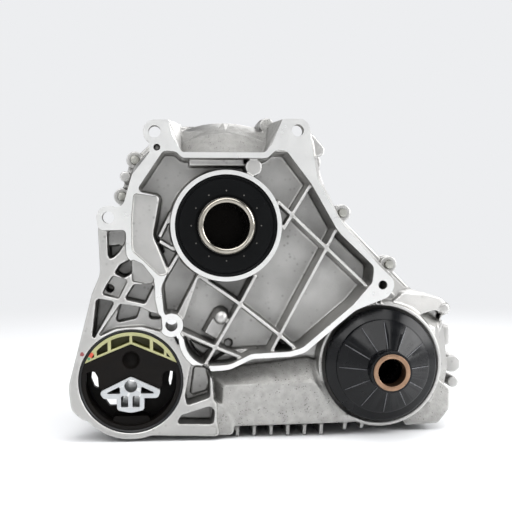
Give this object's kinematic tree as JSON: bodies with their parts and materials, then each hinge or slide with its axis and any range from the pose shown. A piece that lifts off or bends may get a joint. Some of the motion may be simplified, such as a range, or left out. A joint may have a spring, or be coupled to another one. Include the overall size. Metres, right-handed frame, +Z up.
{
  "type": "transfer case",
  "caption": "Chain-drive transfer case: ribbed cast case with input sleeve and seal, finned sump, rubber mount bush in an arm, black dust shield on the front output.",
  "frame": {"origin": "on the input axis in the plane of the gearbox joint face", "axes": "+Z up, +Y toward the rear of the case, +X toward the front output"},
  "size_m": [0.3827, 0.228, 0.3068],
  "materials": {
    "cast_case": "sand and die cast, machined faces",
    "gasket": "thin sealing sheet",
    "steel_bolt": "phosphated",
    "steel_bright": "ground",
    "steel_dark": "hardened",
    "seal_black": "satin",
    "shield_black": "satin black",
    "bronze": "machined bronze",
    "bush_black": "moulded rubber",
    "can_black": "black coated",
    "insert_plastic": "yellow-green moulding",
    "core_aluminium": "extruded",
    "motor_black": "moulded",
    "motor_steel": "drawn can",
    "friction": "friction lining on steel",
    "copper": "sealing washer"
  },
  "bodies": {
    "case": {"front_housing": "cast_case", "rear_housing": "cast_case", "split_gasket": "gasket", "split_bolts": "steel_bolt", "dowel_sleeves": "steel_bright", "drain_plug": "steel_bolt", "fill_plug": "steel_bolt", "plug_washers": "copper", "input_seal": "seal_black", "front_output_seal": "seal_black", "rear_output_seal": "seal_black", "drive_chain": "steel_dark", "bush_can": "can_black", "bush_insert": "insert_plastic", "bush_rubber": "bush_black", "bush_core": "core_aluminium", "actuator_motor": "motor_steel", "motor_screws": "steel_bolt", "motor_connector": "motor_black", "main_front_bearing_outer": "steel_bright", "main_rear_bearing_outer": "steel_bright", "output_front_bearing_outer": "steel_bright", "output_rear_bearing_outer": "steel_bright"},
    "main_shaft": {"input_shaft": "steel_bright", "main_front_bearing_inner": "steel_bright", "main_rear_bearing_inner": "steel_bright", "needle_sleeve": "steel_bright", "clutch_hub": "steel_dark", "friction_plates": "friction", "rear_output_flange": "steel_bolt", "flange_nut": "steel_bright"},
    "drive_wheel": {"drive_sprocket": "steel_dark", "clutch_drum": "steel_dark", "steel_plates": "steel_bright", "pressure_ring": "steel_dark"},
    "front_output": {"front_output_shaft": "steel_dark", "driven_sprocket": "steel_dark", "hub_ring": "bronze", "dust_shield": "shield_black", "output_front_bearing_inner": "steel_bright", "output_rear_bearing_inner": "steel_bright"},
    "main_front_rollers": {"main_front_bearing_rollers": "steel_bright"},
    "main_rear_rollers": {"main_rear_bearing_rollers": "steel_bright"},
    "output_front_rollers": {"output_front_bearing_rollers": "steel_bright"},
    "output_rear_rollers": {"output_rear_bearing_rollers": "steel_bright"}
  },
  "joints": [
    {"name": "main_shaft_spin", "type": "hinge", "parent": "case", "child": "main_shaft", "pos_m": [0, 0, 0], "axis": [0, 1, 0], "continuous": true},
    {"name": "front_output_spin", "type": "hinge", "parent": "case", "child": "front_output", "pos_m": [0.147, 0, -0.132], "axis": [0, 1, 0], "continuous": true, "deforming": ["drive_chain"]},
    {"name": "drive_wheel_spin", "type": "hinge", "parent": "case", "child": "drive_wheel", "pos_m": [0, 0, 0], "axis": [0, 1, 0], "continuous": true},
    {"name": "main_front_roller_orbit", "type": "hinge", "parent": "case", "child": "main_front_rollers", "pos_m": [0, 0, 0], "axis": [0, 1, 0], "continuous": true},
    {"name": "main_rear_roller_orbit", "type": "hinge", "parent": "case", "child": "main_rear_rollers", "pos_m": [0, 0, 0], "axis": [0, 1, 0], "continuous": true},
    {"name": "output_front_roller_orbit", "type": "hinge", "parent": "case", "child": "output_front_rollers", "pos_m": [0.147, 0, -0.132], "axis": [0, 1, 0], "continuous": true},
    {"name": "output_rear_roller_orbit", "type": "hinge", "parent": "case", "child": "output_rear_rollers", "pos_m": [0.147, 0, -0.132], "axis": [0, 1, 0], "continuous": true}
  ],
  "couplings": [
    {"joint": "drive_wheel_spin", "follows": "front_output_spin", "ratio": 1},
    {"joint": "main_front_roller_orbit", "follows": "main_shaft_spin", "ratio": 0.4519},
    {"joint": "main_rear_roller_orbit", "follows": "main_shaft_spin", "ratio": 0.4219},
    {"joint": "output_front_roller_orbit", "follows": "front_output_spin", "ratio": 0.4267},
    {"joint": "output_rear_roller_orbit", "follows": "front_output_spin", "ratio": 0.4204}
  ]
}
